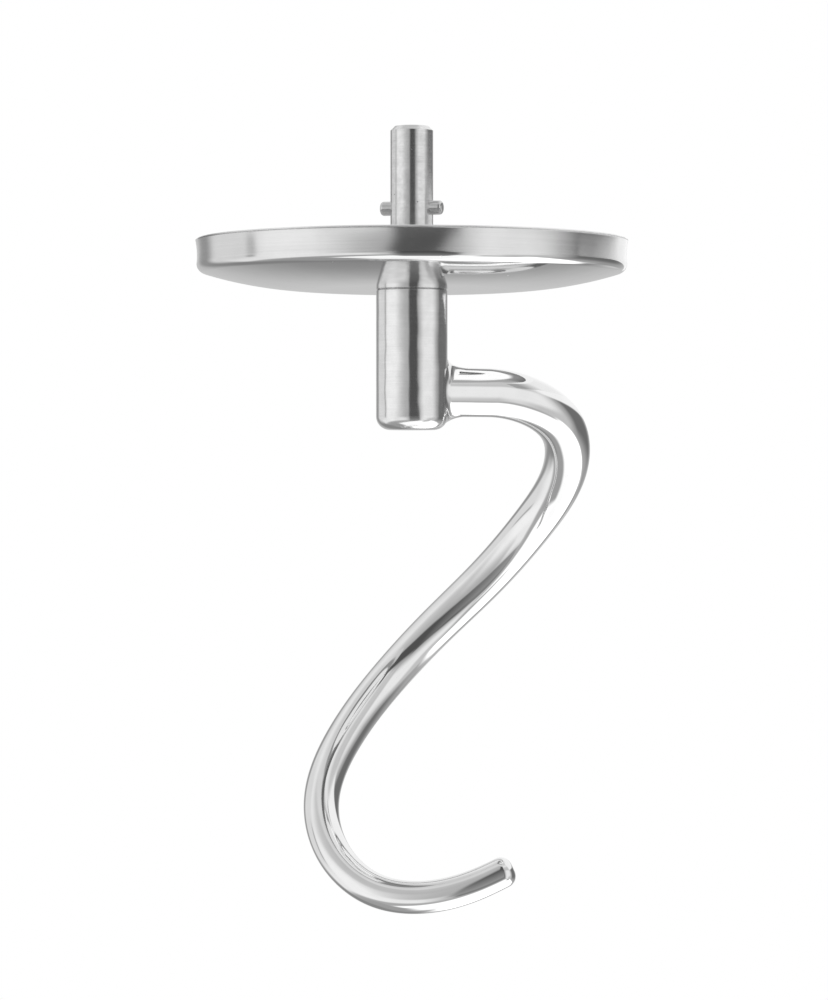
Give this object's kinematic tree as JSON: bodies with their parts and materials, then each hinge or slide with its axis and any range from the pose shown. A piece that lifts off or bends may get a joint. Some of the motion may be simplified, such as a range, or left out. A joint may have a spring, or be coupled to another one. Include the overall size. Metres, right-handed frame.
{
  "type": "spiral dough hook",
  "caption": "Spiral dough hook for a stand mixer: drive shaft with bayonet cross pin, dished round guard plate, plain hub and tapered polished hook with a rounded tip.",
  "frame": {"origin": "on the shaft axis at the lower end of the drive journal, just above the cross pin", "axes": "+Z along the shaft towards the mixer, +X to the side where the hook leaves the hub, +Y to the back"},
  "size_m": [0.121, 0.1233, 0.2211],
  "materials": {
    "turned_steel": "fine turned",
    "pin_steel": "ground",
    "plate_steel": "rim brushed round, underside polished",
    "hub_steel": "polished",
    "hook_steel": "mirror polished",
    "weld_steel": "dressed and polished"
  },
  "bodies": {
    "root": {"drive_shaft": "turned_steel", "cross_pin": "pin_steel", "guard_plate": "plate_steel", "hub": "hub_steel", "hook": "hook_steel", "hook_weld": "weld_steel"}
  },
  "joints": []
}
